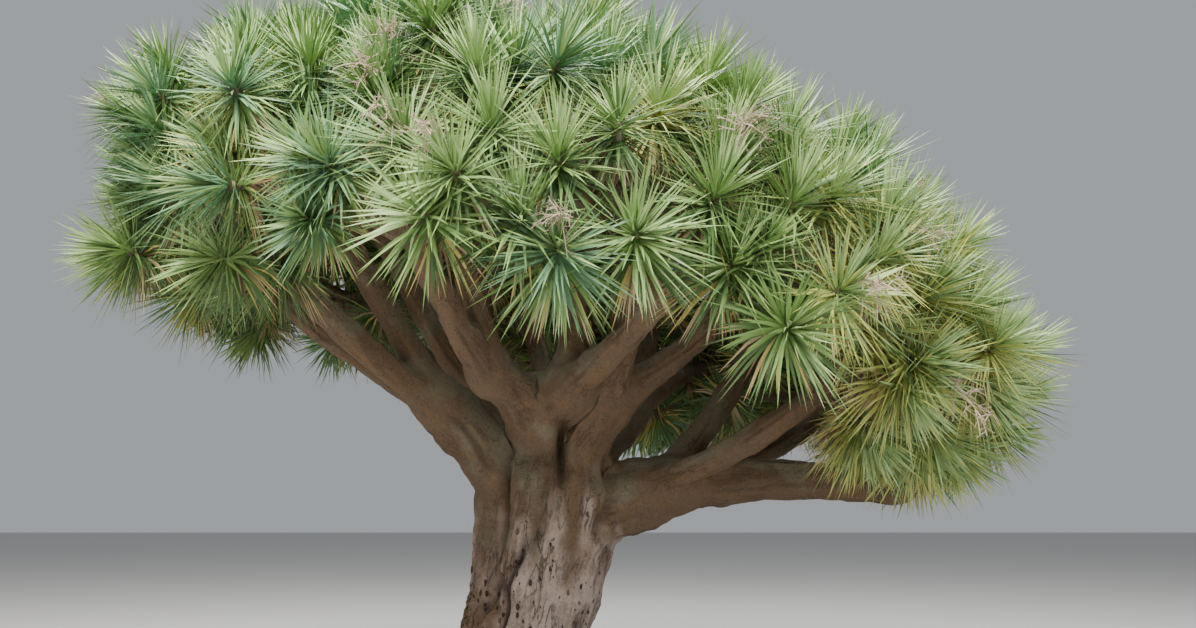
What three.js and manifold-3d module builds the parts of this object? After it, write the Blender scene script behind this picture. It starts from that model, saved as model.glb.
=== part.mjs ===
// A dragon tree, rooted in the ground: millimetres, +Z up, the origin in the middle of the trunk's
// flat cut at ground level. The trunk leans towards +X and the front of the tree is -Y.
// Limbs part at the trunk's head and fork again. Each last branch carries one mass of foliage,
// whose twigs go on forking in two and end in tufts of sword-shaped leaves.
import * as THREE from "three";
import { mergeVertices } from "three/addons/utils/BufferGeometryUtils.js";
import Module from "manifold-3d";

const wasm = await Module();
wasm.setup();

const GAP = 0.3; // clearance where one solid meets the next
const GOLDEN_TURN = Math.PI * (3 - Math.sqrt(5));
const DEGREE = Math.PI / 180;
const UP = new THREE.Vector3(0, 0, 1);

const TRUNK = {
  height: 2000, // the crotch between the limbs
  shoulder: 1780, // where the head starts to round over
  leanReach: 360, // how far the top stands to the right of the foot
  leanPower: 1.5,
  waistRadius: 430,
  topRadius: 250,
  flare: 250, // added at the ground
  flareHeight: 350,
  rootLobes: 7,
  rootLobeDepth: 0.09,
  fluteCount: 5,
  fluteDepth: 0.035,
  fluteTwist: 0.6, // radians from the foot to the crotch
  sides: 20,
  rings: 10,
};

// The surface that the middles of the tufts lie on. The crown hangs lower on the right.
const CROWN = {
  centreX: 490,
  midHeight: 3200,
  reachRight: 3300,
  reachLeft: 3350,
  reachFront: 3050,
  reachBack: 3050,
  rise: 1880,
  tilt: 0.19, // fall of its middle plane for each unit to the right
  powerRight: 1.5, // a long straight slope
  powerLeft: 2, // a full round shoulder
  lowestFall: 107 * DEGREE, // how far round the edge the tufts go, from 0 at the top
  frontLift: 0.07, // the share by which that is less at the front
  rightDrop: 0.09, // the share by which it is more on the right
  backDrop: 0.07, // and at the back
  tufts: 84,
};

const TUFT = {
  coreRadius: 175,
  coreFlatness: 0.75,
  leaves: 8,
  leafLength: 520,
  leafWidth: 105,
  leafThickness: 16,
  rootInset: 30,
  narrowest: 12 * DEGREE, // from the tuft's axis to its inmost leaf
  widest: 108 * DEGREE,
  spread: 0.62, // below 1, more leaves lie flat than stand up
  droop: 0.16,
  turns: [1, 0.8, 0.6, 0.4, 0.2], // a leaf may be turned up to these shares of its tilt
  leafMargin: 30, // how much nearer a leaf's middle and tip lie to their own mass than to another
  upwards: 0.45, // how far the tuft's axis turns up from the crown's face
};

// The last branches, each from a limb to the foot of its mass.
const BRANCH = {
  rootRadius: 112,
  tipRadius: 78,
  sides: 6,
  rings: 4,
  bendOut: 0.58,
  bendUp: 0.42,
};

const TWIG = {
  stemDepth: 1150, // from the middle of a mass's face in to the foot of its stem
  tipRadius: 52,
  forkGrowth: 0.3, // a twig's radius grows by this power of the tufts it serves
  sides: 3,
  stemSides: 6,
};

const LIMB = { sides: 8, rings: 5, tipRounding: 0.55 };

// The limbs that other limbs and branches grow from. Each sets off from the trunk at a height, or from
// another limb at a share of its length, on a bearing from +X towards +Y, and ends reach out and rise up.
// bendOut and bendUp place its bend, as shares of reach and rise.
const LIMBS = [
  { name: "right_limb", height: 1250, bearing: -6, reach: 2600, rise: 440, bendOut: 0.23, bendUp: 1.5,
    rootRadius: 250, tipRadius: 112, open: true },
  { name: "left_limb", height: 1560, bearing: 191, reach: 800, rise: 760, bendOut: 0.5, bendUp: 0.4,
    rootRadius: 215, tipRadius: 165 },
  { name: "centre_limb", height: 1700, bearing: 262, reach: 330, rise: 600, bendOut: 0.7, bendUp: 0.4,
    rootRadius: 200, tipRadius: 165 },
  { name: "right_centre_limb", height: 1620, bearing: 318, reach: 640, rise: 780, bendOut: 0.55, bendUp: 0.4,
    rootRadius: 185, tipRadius: 145 },
  { name: "back_left_limb", height: 1620, bearing: 124, reach: 1050, rise: 880, bendOut: 0.6, bendUp: 0.45,
    rootRadius: 195, tipRadius: 150 },
  { name: "back_limb", height: 1600, bearing: 86, reach: 1150, rise: 830, bendOut: 0.6, bendUp: 0.45,
    rootRadius: 195, tipRadius: 150 },
  { name: "back_right_limb", height: 1640, bearing: 48, reach: 1000, rise: 780, bendOut: 0.6, bendUp: 0.45,
    rootRadius: 190, tipRadius: 150 },
  { name: "centre_left_limb", from: "centre_limb", at: 0.86, bearing: 226, reach: 560, rise: 330,
    bendOut: 0.6, bendUp: 0.5, rootRadius: 145, tipRadius: 125 },
  { name: "centre_right_limb", from: "centre_limb", at: 0.88, bearing: 304, reach: 400, rise: 210,
    bendOut: 0.6, bendUp: 0.5, rootRadius: 140, tipRadius: 122 },
];

// One row for each mass of foliage: the limb its branch leaves and where, and the middle of its
// stretch of the crown by bearing and by fall, from 0 at the top of the crown to 90 at its widest.
const MASSES = [
  { name: "right_low", limb: "right_limb", at: 1, bearing: 353, fall: 96 },
  { name: "right_front", limb: "right_limb", at: 0.4, bearing: 322, fall: 84 },
  { name: "right_upper", limb: "right_limb", at: 0.45, bearing: 22, fall: 50 },
  { name: "right_back", limb: "right_limb", at: 0.55, bearing: 28, fall: 86 },
  { name: "left_low", limb: "left_limb", at: 0.95, bearing: 178, fall: 85 },
  { name: "left_front", limb: "left_limb", at: 0.9, bearing: 212, fall: 82 },
  { name: "left_upper", limb: "left_limb", at: 0.8, bearing: 200, fall: 48 },
  { name: "front_left", limb: "centre_left_limb", at: 0.92, bearing: 249, fall: 82 },
  { name: "front_left_upper", limb: "centre_left_limb", at: 0.85, bearing: 246, fall: 48 },
  { name: "front_right", limb: "centre_right_limb", at: 0.92, bearing: 289, fall: 82 },
  { name: "top_front", limb: "centre_right_limb", at: 0.85, bearing: 285, fall: 16 },
  { name: "front_right_upper", limb: "right_centre_limb", at: 0.9, bearing: 291, fall: 48 },
  { name: "right_front_upper", limb: "right_centre_limb", at: 0.85, bearing: 337, fall: 50 },
  { name: "back_left", limb: "back_left_limb", at: 0.93, bearing: 143, fall: 85 },
  { name: "back_left_upper", limb: "back_left_limb", at: 0.85, bearing: 155, fall: 48 },
  { name: "top_left", limb: "back_left_limb", at: 0.75, bearing: 165, fall: 17 },
  { name: "back", limb: "back_limb", at: 0.93, bearing: 106, fall: 86 },
  { name: "back_upper", limb: "back_limb", at: 0.85, bearing: 110, fall: 48 },
  { name: "back_right", limb: "back_right_limb", at: 0.93, bearing: 66, fall: 86 },
  { name: "back_right_upper", limb: "back_right_limb", at: 0.88, bearing: 66, fall: 48 },
  { name: "top_right", limb: "back_right_limb", at: 0.75, bearing: 45, fall: 16 },
];

const bark = new THREE.MeshStandardMaterial({ color: 0x7d6a58, roughness: 0.92, metalness: 0 });
const boughBark = new THREE.MeshStandardMaterial({ color: 0x80694f, roughness: 0.85, metalness: 0 });
const foliage = new THREE.MeshStandardMaterial({ color: 0x5f8340, roughness: 0.5, metalness: 0 });

// Closed solid of a geometry, with the vertices that its faces share merged.
function solidOf(geometry) {
  const bare = geometry.clone();
  bare.deleteAttribute("normal");
  bare.deleteAttribute("uv");
  const merged = mergeVertices(bare, 1e-3);
  return new wasm.Manifold(
    new wasm.Mesh({
      numProp: 3,
      vertProperties: new Float32Array(merged.attributes.position.array),
      triVerts: new Uint32Array(merged.index.array),
    }),
  );
}

function geometryOf(solid) {
  const mesh = solid.getMesh();
  return new THREE.BufferGeometry()
    .setAttribute("position", new THREE.BufferAttribute(new Float32Array(mesh.vertProperties), 3))
    .setIndex(new THREE.BufferAttribute(new Uint32Array(mesh.triVerts), 1));
}

// The biggest body of a solid, with loose scraps dropped and sealed hollows filled. Rounding to a
// mesh's 32-bit numbers can part bodies that only touch, so it is sorted until one is left.
function oneBody(solid) {
  const rounded = solidOf(geometryOf(solid));
  const bodies = rounded.decompose();
  if (bodies.length === 1) return rounded;
  return oneBody(bodies.reduce((best, body) => (body.volume() > best.volume() ? body : best)));
}

// Moves each vertex of a geometry to where place(x, y, z) puts it.
function remade(geometry, place) {
  const position = geometry.attributes.position;
  for (let i = 0; i < position.count; i++) {
    const p = place(position.getX(i), position.getY(i), position.getZ(i));
    position.setXYZ(i, p.x, p.y, p.z);
  }
  return geometry;
}

const bearingVector = (bearing) => new THREE.Vector3(Math.cos(bearing), Math.sin(bearing), 0);

function trunkAxis(z) {
  const share = Math.min(z / TRUNK.height, 1);
  return TRUNK.leanReach * (1 - (1 - share) ** TRUNK.leanPower);
}

function trunkRadius(z, angle) {
  const flare = Math.exp(-z / TRUNK.flareHeight);
  const lobes = 1 + TRUNK.rootLobeDepth * flare * Math.cos(TRUNK.rootLobes * angle);
  const flutes = 1 + TRUNK.fluteDepth * Math.cos(TRUNK.fluteCount * (angle + TRUNK.fluteTwist * (z / TRUNK.height)));
  const over = Math.max(0, (z - TRUNK.shoulder) / (TRUNK.height - TRUNK.shoulder));
  const body = TRUNK.waistRadius + TRUNK.flare * flare;
  return THREE.MathUtils.lerp(body * lobes * flutes, TRUNK.topRadius, over ** 2);
}

// The trunk, or with grow above 0 the space that its neighbours keep out of.
function trunkSolid(grow = 0) {
  const tube = new THREE.CylinderGeometry(1, 1, TRUNK.height, TRUNK.sides, TRUNK.rings);
  return solidOf(
    remade(tube, (x, y, z) => {
      const height = y + TRUNK.height / 2;
      const angle = Math.atan2(-z, x);
      const radius = Math.hypot(x, z) < 0.5 ? 0 : trunkRadius(height, angle) + grow;
      const raised = height > 0 ? height + grow : height;
      return new THREE.Vector3(
        trunkAxis(height) + radius * Math.cos(angle), radius * Math.sin(angle), raised);
    }),
  );
}

// A cylinder bent along a curve through stations, each a share of the curve, a radius there and
// perhaps a push further along it.
function bentCylinder(curve, stations, sides) {
  const last = stations.length - 1;
  const tube = new THREE.CylinderGeometry(1, 1, 1, sides, last);
  const side = new THREE.Vector3();
  const frames = stations.map(({ at, push = 0 }) => {
    const along = curve.getTangent(at);
    if (!side.lengthSq()) side.crossVectors(along, Math.abs(along.z) > 0.9 ? bearingVector(0) : UP);
    side.addScaledVector(along, -side.dot(along)).normalize();
    const centre = curve.getPoint(at).addScaledVector(along, push);
    return { centre, side: side.clone(), across: side.clone().cross(along) };
  });
  return remade(tube, (x, y, z) => {
    const ring = Math.round((y + 0.5) * last);
    const { centre, side: s, across } = frames[ring];
    const radius = stations[ring].radius;
    return centre.clone().addScaledVector(s, x * radius).addScaledVector(across, z * radius);
  });
}

// A limb as a curve with radii. One that other limbs leave has a rounded end, an open one a flat end.
function limbSolid(limb, grow = 0) {
  const stations = [];
  for (let ring = 0; ring <= limb.rings; ring++) {
    const at = ring / limb.rings;
    const radius = THREE.MathUtils.lerp(limb.rootRadius, limb.tipRadius, at);
    stations.push({ at, radius: radius + grow });
  }
  if (!limb.open) {
    const rounding = (limb.tipRadius * LIMB.tipRounding) / limb.curve.getLength();
    stations[limb.rings].at = 1 - rounding;
    stations.push({ at: 1, radius: limb.tipRadius * LIMB.tipRounding + grow });
  }
  stations[0].push = -grow;
  stations[stations.length - 1].push = grow;
  return solidOf(bentCylinder(limb.curve, stations, limb.sides));
}

// From a start to an end, with the bend placed by shares of the way out and the way up.
function bentCurve(start, end, bendOut, bendUp) {
  const way = end.clone().sub(start);
  const bend = start.clone().add(new THREE.Vector3(way.x * bendOut, way.y * bendOut, way.z * bendUp));
  return new THREE.QuadraticBezierCurve3(start, bend, end);
}

const limbs = new Map();

function layLimb(row) {
  const start = row.from
    ? limbs.get(row.from).curve.getPoint(row.at)
    : new THREE.Vector3(trunkAxis(row.height), 0, row.height);
  const end = start.clone().addScaledVector(bearingVector(row.bearing * DEGREE), row.reach);
  end.z += row.rise;
  const curve = bentCurve(start, end, row.bendOut, row.bendUp);
  limbs.set(row.name, { ...row, sides: LIMB.sides, rings: LIMB.rings, curve });
}
LIMBS.forEach(layLimb);

// A point of the crown's tuft surface: bearing round it, and fall down it from its top.
function crownPoint(bearing, fall) {
  const rightward = (1 + Math.cos(bearing)) / 2;
  const power = THREE.MathUtils.lerp(CROWN.powerLeft, CROWN.powerRight, rightward);
  const out = Math.abs(Math.sin(fall)) ** (2 / power);
  const up = Math.sign(Math.cos(fall)) * Math.abs(Math.cos(fall)) ** (2 / power);
  const x = out * Math.cos(bearing) * (Math.cos(bearing) > 0 ? CROWN.reachRight : CROWN.reachLeft);
  const y = out * Math.sin(bearing) * (Math.sin(bearing) > 0 ? CROWN.reachBack : CROWN.reachFront);
  return new THREE.Vector3(CROWN.centreX + x, y, CROWN.midHeight + up * CROWN.rise - CROWN.tilt * x);
}

// Which way the crown faces there, from the slopes of its surface.
function crownFace(bearing, fall) {
  const step = 0.01;
  const low = Math.max(fall, 2 * step);
  const round = crownPoint(bearing + step, low).sub(crownPoint(bearing - step, low));
  const down = crownPoint(bearing, low + step).sub(crownPoint(bearing, low - step));
  return down.cross(round).normalize();
}

// The falls that part the crown into rings of like area, for tufts spaced evenly all over it.
function fallTable(steps = 240) {
  const table = [{ fall: 0, area: 0 }];
  for (let i = 1; i <= steps; i++) {
    const fall = (CROWN.lowestFall * i) / steps;
    const before = table[i - 1];
    const front = crownPoint(-Math.PI / 2, fall);
    const slope = front.clone().sub(crownPoint(-Math.PI / 2, before.fall)).length();
    table.push({ fall, area: before.area + slope * Math.abs(front.y) });
  }
  return table;
}
const FALLS = fallTable();

function fallAtShare(share) {
  const wanted = share * FALLS[FALLS.length - 1].area;
  const next = FALLS.findIndex((row) => row.area >= wanted);
  const [a, b] = [FALLS[next - 1], FALLS[next]];
  return THREE.MathUtils.lerp(a.fall, b.fall, (wanted - a.area) / (b.area - a.area));
}

// The tufts' places, turned by the golden angle from one to the next, down from the top.
function tuftSites(count) {
  return Array.from({ length: count }, (_, i) => {
    const bearing = i * GOLDEN_TURN;
    const [rightward, backward] = [Math.cos(bearing), Math.sin(bearing)];
    const drop = CROWN.rightDrop * Math.max(0, rightward) + CROWN.backDrop * Math.max(0, backward);
    const lift = CROWN.frontLift * Math.max(0, -backward);
    const fall = fallAtShare((i + 0.5) / count) * (1 - lift + drop);
    const axis = crownFace(bearing, fall).addScaledVector(UP, TUFT.upwards).normalize();
    return { place: crownPoint(bearing, fall), axis };
  });
}

const masses = MASSES.map((row) => {
  const middle = crownPoint(row.bearing * DEGREE, row.fall * DEGREE);
  const start = limbs.get(row.limb).curve.getPoint(row.at);
  const foot = row.at === 1
    ? start
    : start.clone().sub(middle).setLength(TWIG.stemDepth).add(middle);
  return { ...row, middle, start, foot, sites: [] };
});

function nearestMass(point) {
  const far = (mass) => mass.middle.distanceToSquared(point);
  return masses.reduce((best, mass) => (far(mass) < far(best) ? mass : best));
}

// True where the tuft nearest to a point is one of the mass's own, by a margin.
function inOwnSpace(mass, point, margin) {
  const nearest = ({ sites }) => Math.min(...sites.map((site) => site.place.distanceTo(point)));
  const own = nearest(mass);
  return masses.every((other) => other === mass || nearest(other) > own + margin);
}

for (const site of tuftSites(CROWN.tufts)) nearestMass(site.place).sites.push(site);

for (const mass of masses) {
  if (mass.at === 1) continue;
  limbs.set(mass.name + "_branch", {
    name: mass.name + "_branch",
    rootRadius: BRANCH.rootRadius,
    tipRadius: BRANCH.tipRadius,
    sides: BRANCH.sides,
    rings: BRANCH.rings,
    open: true,
    curve: bentCurve(mass.start, mass.foot, BRANCH.bendOut, BRANCH.bendUp),
  });
}

// The wood, each piece cut clear of those before it.
const wood = new Map([["trunk", trunkSolid()]]);
let woodSpace = trunkSolid(GAP);
for (const limb of limbs.values()) {
  wood.set(limb.name, oneBody(limbSolid(limb).subtract(woodSpace)));
  woodSpace = woodSpace.add(limbSolid(limb, GAP));
}

const twigRadius = (tufts) => TWIG.tipRadius * tufts ** TWIG.forkGrowth;

// Parts a group of sites in two, round the pair that lies furthest apart.
function parted(sites) {
  let widest = [sites[0], sites[1]];
  for (const a of sites)
    for (const b of sites)
      if (a.place.distanceTo(b.place) > widest[0].place.distanceTo(widest[1].place)) widest = [a, b];
  const nearFirst = (site) =>
    site.place.distanceTo(widest[0].place) <= site.place.distanceTo(widest[1].place);
  return [sites.filter(nearFirst), sites.filter((site) => !nearFirst(site))];
}

function middleOf(sites) {
  const sum = sites.reduce((total, site) => total.add(site.place), new THREE.Vector3());
  return sum.divideScalar(sites.length);
}

// The place where the twig for a group of sites forks: nearer its start the more sites it serves.
const forkPlace = (from, sites) => from.clone().lerp(middleOf(sites), 1 / (1 + Math.log2(sites.length)));

// A leaf: a three-sided blade, flat above and keeled below, from its wide root inside the tuft's core
// to its drooping tip.
function leafSolid(root, heading, length) {
  const tip = root.clone().addScaledVector(heading, length);
  tip.z -= TUFT.droop * length * Math.hypot(heading.x, heading.y);
  const along = tip.clone().sub(root);
  const side = UP.clone().cross(along).normalize();
  const below = side.clone().cross(along).normalize();
  const corner = Math.sqrt(3) / 2; // half the width of a triangle that a unit circle goes round
  return solidOf(
    remade(new THREE.ConeGeometry(1, 1, 3, 1), (x, y, z) =>
      root.clone().addScaledVector(along, y + 0.5)
        .addScaledVector(side, (x / corner) * (TUFT.leafWidth / 2))
        .addScaledVector(below, z * (TUFT.leafThickness / 1.5))),
  );
}

function leafHeading(axis, index, turnedUp) {
  const turn = index * GOLDEN_TURN;
  const share = (index / (TUFT.leaves - 1)) ** TUFT.spread;
  const tilt = THREE.MathUtils.lerp(TUFT.narrowest, TUFT.widest, share) * turnedUp;
  const side = axis.clone().cross(Math.abs(axis.z) > 0.95 ? bearingVector(0) : UP).normalize();
  const across = axis.clone().cross(side);
  return axis.clone().multiplyScalar(Math.cos(tilt))
    .addScaledVector(side, Math.sin(tilt) * Math.cos(turn))
    .addScaledVector(across, Math.sin(tilt) * Math.sin(turn));
}

function tuftCore(site) {
  const turned = new THREE.Quaternion().setFromUnitVectors(UP, site.axis);
  return solidOf(
    remade(new THREE.OctahedronGeometry(TUFT.coreRadius, 0), (x, y, z) =>
      new THREE.Vector3(x, y, z * TUFT.coreFlatness).applyQuaternion(turned).add(site.place)),
  );
}

const clearOfWood = (solid) => solid.intersect(woodSpace).isEmpty();

// A leaf of a tuft that stays in its mass's own space and clear of the wood: as it would grow, or
// turned up towards the tuft's axis where that is enough. Otherwise there is none.
function grownLeaf(mass, site, index) {
  for (const turnedUp of TUFT.turns) {
    const heading = leafHeading(site.axis, index, turnedUp);
    const root = site.place.clone().addScaledVector(heading, TUFT.rootInset);
    const length = TUFT.leafLength - TUFT.rootInset;
    const inside = [0.5, 1].every((share) =>
      inOwnSpace(mass, root.clone().addScaledVector(heading, length * share), TUFT.leafMargin));
    if (!inside) continue;
    const leaf = leafSolid(root, heading, length);
    if (clearOfWood(leaf)) return leaf;
  }
  return null;
}

function tuftSolids(mass, site) {
  const leaves = Array.from({ length: TUFT.leaves }, (_, index) => grownLeaf(mass, site, index));
  return [tuftCore(site), ...leaves.filter((leaf) => leaf)];
}

// Grows the twigs of a mass on from a fork. One bent twig runs from the next fork on one side, or
// the tuft where there is none, through this fork and on to the other side's.
function growTwigs(mass, fork, sites, solids) {
  const arms = parted(sites).map((half) => {
    const end = half.length > 1 ? forkPlace(fork, half) : half[0].place;
    return { half, end, radius: twigRadius(half.length) };
  });
  const [a, b] = arms;
  const bend = fork.clone().multiplyScalar(2).sub(a.end.clone().add(b.end).multiplyScalar(0.5));
  const curve = new THREE.QuadraticBezierCurve3(a.end, bend, b.end);
  const stations = [
    { at: 0, radius: a.radius },
    { at: 0.5, radius: twigRadius(sites.length) },
    { at: 1, radius: b.radius },
  ];
  const twig = solidOf(bentCylinder(curve, stations, TWIG.sides));
  if (!clearOfWood(twig)) return;
  solids.push(twig);
  for (const { half, end } of arms) {
    if (half.length > 1) growTwigs(mass, end, half, solids);
    else solids.push(...tuftSolids(mass, half[0]));
  }
}

// The stem runs on from the branch's flat end to the first fork.
function massSolid(mass) {
  const branch = limbs.get(mass.at === 1 ? mass.limb : mass.name + "_branch");
  const along = branch.curve.getTangent(1);
  const foot = mass.foot.clone().addScaledVector(along, GAP);
  const fork = forkPlace(foot, mass.sites);
  const bend = foot.clone().addScaledVector(along, foot.distanceTo(fork) / 2);
  const radius = twigRadius(mass.sites.length);
  const stations = [0, 0.5, 1].map((at) => ({
    at, radius: THREE.MathUtils.lerp(branch.tipRadius, radius, at) }));
  const curve = new THREE.QuadraticBezierCurve3(foot, bend, fork);
  const solids = [solidOf(bentCylinder(curve, stations, TWIG.stemSides))];
  if (mass.sites.length > 1) growTwigs(mass, fork, mass.sites, solids);
  else solids.push(...tuftSolids(mass, mass.sites[0]));
  return oneBody(wasm.Manifold.union(solids));
}

const tree = new THREE.Group();

function addNode(name, solid, material) {
  const mesh = new THREE.Mesh(geometryOf(solid), material);
  mesh.name = name;
  tree.add(mesh);
}

for (const [name, solid] of wood) addNode(name, solid, name === "trunk" ? bark : boughBark);
for (const mass of masses) addNode(mass.name + "_foliage", massSolid(mass), foliage);

export default tree;
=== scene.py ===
import math
import bmesh
import bpy
import numpy as np
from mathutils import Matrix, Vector, kdtree


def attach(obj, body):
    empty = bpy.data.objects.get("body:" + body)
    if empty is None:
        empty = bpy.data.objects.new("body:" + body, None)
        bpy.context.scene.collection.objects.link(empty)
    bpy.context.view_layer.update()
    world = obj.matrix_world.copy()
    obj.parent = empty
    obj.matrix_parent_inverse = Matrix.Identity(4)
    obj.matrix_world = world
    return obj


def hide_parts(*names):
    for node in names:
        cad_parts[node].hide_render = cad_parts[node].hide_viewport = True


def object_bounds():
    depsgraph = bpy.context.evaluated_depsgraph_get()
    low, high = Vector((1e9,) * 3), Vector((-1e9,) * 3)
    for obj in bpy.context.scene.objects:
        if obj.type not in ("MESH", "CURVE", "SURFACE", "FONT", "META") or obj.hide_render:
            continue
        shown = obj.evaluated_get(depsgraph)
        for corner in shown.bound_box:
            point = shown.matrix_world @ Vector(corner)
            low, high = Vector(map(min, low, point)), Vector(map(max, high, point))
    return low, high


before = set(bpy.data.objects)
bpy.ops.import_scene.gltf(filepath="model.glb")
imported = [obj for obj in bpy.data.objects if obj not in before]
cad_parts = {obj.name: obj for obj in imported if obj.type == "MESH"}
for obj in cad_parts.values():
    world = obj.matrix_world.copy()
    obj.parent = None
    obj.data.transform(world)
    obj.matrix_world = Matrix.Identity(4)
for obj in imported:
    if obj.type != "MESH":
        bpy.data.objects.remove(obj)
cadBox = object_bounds()

# A dragon tree in metres: the trunk's foot at the origin, the lean towards +X, the front -Y.
# The wood, the twigs and the tufts grow by the same rule as the solids and go on to finer parts.

goldenTurn = math.pi * (3 - math.sqrt(5))
up = np.array([0.0, 0.0, 1.0])
rng = np.random.default_rng(27)


def unit(v):
    return v / np.maximum(np.linalg.norm(v, axis=-1, keepdims=True), 1e-9)


def bearingVector(degrees):
    return np.array([math.cos(math.radians(degrees)), math.sin(math.radians(degrees)), 0.0])


def mix(a, b, share):
    return a + (b - a) * share


def smoothStep(low, high, value):
    t = np.clip((value - low) / (high - low), 0, 1)
    return t * t * (3 - 2 * t)


# One between the two inner edges, and soft on both sides.
def within(edges, value):
    return smoothStep(edges[0], edges[1], value) * smoothStep(edges[3], edges[2], value)


def bell(value):
    return np.exp(-(value ** 2))


def bentCurve(start, end, bendOut, bendUp):
    way = end - start
    return start, start + way * np.array([bendOut, bendOut, bendUp]), end


def curveThrough(start, middle, end):
    return start, 2 * middle - (start + end) / 2, end


def curvePoint(curve, t):
    a, b, c = curve
    t = np.asarray(t, float)[..., None]
    return a * (1 - t) ** 2 + 2 * b * t * (1 - t) + c * t * t


def curveWay(curve, t):
    a, b, c = curve
    return unit((b - a) * (1 - t) + (c - b) * t)


def lengthsOf(path):
    return np.concatenate([[0], np.cumsum(np.linalg.norm(np.diff(path, axis=0), axis=1))])


def pointsAt(path, marks, at):
    return np.stack([np.interp(at, marks, path[:, k]) for k in range(3)], axis=-1)


def squaredGaps(points, others):
    return (points ** 2).sum(1)[:, None] + (others ** 2).sum(1)[None] - 2 * points @ others.T


# Noise that is the same on each run: values on a lattice, blended between its points.
noiseTable = rng.random((32, 32, 32)) * 2 - 1


def bumps(points, size, shift=0.0):
    scaled = points / size + shift
    base = np.floor(scaled).astype(int)
    part = scaled - base
    part = part * part * (3 - 2 * part)
    total = np.zeros(len(points))
    for corner in range(8):
        step = np.array([corner & 1, corner >> 1 & 1, corner >> 2 & 1])
        cell = (base + step) & 31
        weight = np.where(step, part, 1 - part).prod(axis=1)
        total += weight * noiseTable[cell[:, 0], cell[:, 1], cell[:, 2]]
    return total


def feed(node, inputs):
    for name, value in inputs.items():
        if isinstance(value, bpy.types.NodeSocket):
            node.id_data.links.new(value, node.inputs[name])
        else:
            node.inputs[name].default_value = value


# A call that adds a node to one tree. It gives back the node's first output or the one that is
# named, and with None all of them.
def adderOf(tree):
    def add(kind, inputs=None, output=0, **settings):
        node = tree.nodes.new(kind)
        for name, value in settings.items():
            setattr(node, name, value)
        feed(node, inputs or {})
        return node.outputs if output is None else node.outputs[output]
    return add


def newTree(name, kind, inputs, outputs):
    tree = bpy.data.node_groups.new(name, kind)
    for way, sockets in (("INPUT", inputs), ("OUTPUT", outputs)):
        for title, socketKind in sockets.items():
            tree.interface.new_socket(title, in_out=way, socket_type="NodeSocket" + socketKind)
    add = adderOf(tree)
    return tree, add, add("NodeGroupInput", output=None)


def newMaterial(name):
    material = bpy.data.materials.new(name)
    material.use_nodes = True
    return material, adderOf(material.node_tree), material.node_tree.nodes["Principled BSDF"]


# Feeds a shader from an effect that gives roughness and height.
def dress(shader, add, effect, color, specular, strength, distance):
    bump = add("ShaderNodeBump", {"Strength": strength, "Distance": distance, "Height": effect["Height"]})
    feed(shader, {"Base Color": color, "Roughness": effect["Roughness"], "Specular IOR Level": specular,
                  "Normal": bump})


def mathsOf(add):
    def maths(operation, a, b):
        return add("ShaderNodeMath", {0: a, 1: b}, operation=operation)

    def times(a, b):
        return maths("MULTIPLY", a, b)
    return maths, times


def addPiece(name, mesh):
    piece = bpy.data.objects.new(name, mesh)
    bpy.context.scene.collection.objects.link(piece)
    return piece


def addAttribute(mesh, name, values):
    values = np.asarray(values, np.float32)
    kind, part = ("FLOAT", "value") if values.ndim == 1 else ("FLOAT_VECTOR", "vector")
    mesh.attributes.new(name, kind, "POINT").data.foreach_set(part, values.ravel())


# A mesh's numbers, one row for each point, edge or corner.
def readOut(items, name, width, kind=float):
    values = np.empty(len(items) * width, kind)
    items.foreach_get(name, values)
    return values.reshape(-1, width)


def finalMesh(piece):
    graph = bpy.context.evaluated_depsgraph_get()
    return bpy.data.meshes.new_from_object(
        piece.evaluated_get(graph), preserve_all_data_layers=True, depsgraph=graph)


# Runs a tree on a mesh and keeps what comes out as a plain mesh.
def grow(name, mesh, tree, inputs):
    piece = addPiece(name, mesh)
    modifier = piece.modifiers.new(tree.name, "NODES")
    modifier.node_group = tree
    for item in tree.interface.items_tree:
        if item.item_type == "SOCKET" and item.in_out == "INPUT" and item.name in inputs:
            modifier[item.identifier] = inputs[item.name]
    grown = finalMesh(piece)
    piece.modifiers.remove(modifier)
    piece.data = grown
    grown.name = name
    return piece


# Every piece stands still with the tree and takes the place of its nodes.
def handOver(piece, nodes):
    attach(piece, "root")
    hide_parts(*nodes)
    print(piece.name, len(piece.data.loops) - 2 * len(piece.data.polygons), "triangles")


# The camera, where the tree was seen from.
view = {"place": (0.70, -10.5, 1.6), "tilt": 97.57, "lens": 42.14, "sensor": 36.0}
cameraData = bpy.data.cameras.new("camera")
cameraData.lens = view["lens"]
cameraData.sensor_width = view["sensor"]
camera = addPiece("camera", cameraData)
camera.location = view["place"]
camera.rotation_euler = (math.radians(view["tilt"]), 0, 0)
bpy.context.scene.camera = camera


# The trunk and the limbs, by the numbers of the solids.
trunk = {"height": 2.0, "shoulder": 1.78, "leanReach": 0.36, "leanPower": 1.5, "waistRadius": 0.43,
         "topRadius": 0.25, "flare": 0.25, "flareHeight": 0.35, "rootLobes": 7, "rootLobeDepth": 0.09,
         "fluteCount": 5, "fluteDepth": 0.035, "fluteTwist": 0.6}


def trunkAxis(z):
    share = np.clip(z / trunk["height"], 0, 1)
    return trunk["leanReach"] * (1 - (1 - share) ** trunk["leanPower"])


def trunkRadius(z, angle):
    flare = np.exp(-z / trunk["flareHeight"])
    lobes = 1 + trunk["rootLobeDepth"] * flare * np.cos(trunk["rootLobes"] * angle)
    turn = angle + trunk["fluteTwist"] * z / trunk["height"]
    flutes = 1 + trunk["fluteDepth"] * np.cos(trunk["fluteCount"] * turn)
    over = np.maximum(0, (z - trunk["shoulder"]) / (trunk["height"] - trunk["shoulder"]))
    body = trunk["waistRadius"] + trunk["flare"] * flare
    return mix(body * lobes * flutes, trunk["topRadius"], over ** 2)


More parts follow.
